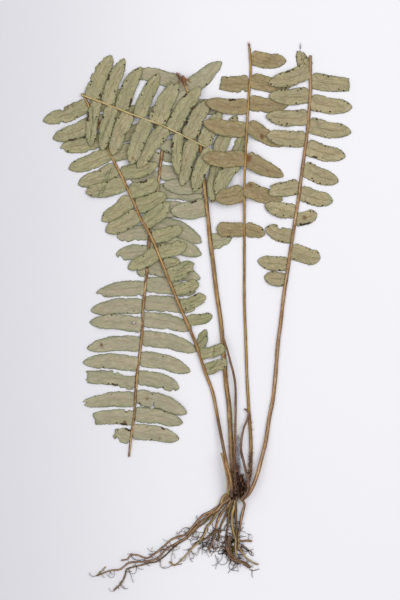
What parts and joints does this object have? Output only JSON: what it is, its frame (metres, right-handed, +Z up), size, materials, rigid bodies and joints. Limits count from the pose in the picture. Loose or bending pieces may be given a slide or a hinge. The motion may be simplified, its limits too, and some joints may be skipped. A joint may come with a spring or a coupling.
{
  "type": "pressed sword fern plant",
  "caption": "Whole dried fern, pressed flat: crown with its roots, folded and straight fronds with scalloped leaflets, and broken stalks. Lies on a surface.",
  "frame": {"origin": "flat underside of the crown, on the surface that the plant lies on", "axes": "+Z up from the surface; +Y from the crown towards the tops of the fronds; +X to the right, seen from above"},
  "size_m": [0.2388, 0.4195, 0.0116],
  "materials": {
    "frond_green": "dry, dull, grey-green leaf with pale creases and dark spore dots",
    "frond_brown": "dry, dull, brownish leaf",
    "stalk": "dry, slightly silky, ribbed stalk",
    "root": "dry, matt, wrinkled root with dark scales"
  },
  "bodies": {
    "root": {"frond_left_folded": "frond_green", "frond_middle_folded": "frond_green", "frond_straight": "frond_brown", "frond_right": "frond_green", "dead_stalk": "stalk", "young_crozier": "stalk", "cut_stalk": "stalk", "crown_and_roots": "root"}
  },
  "joints": []
}
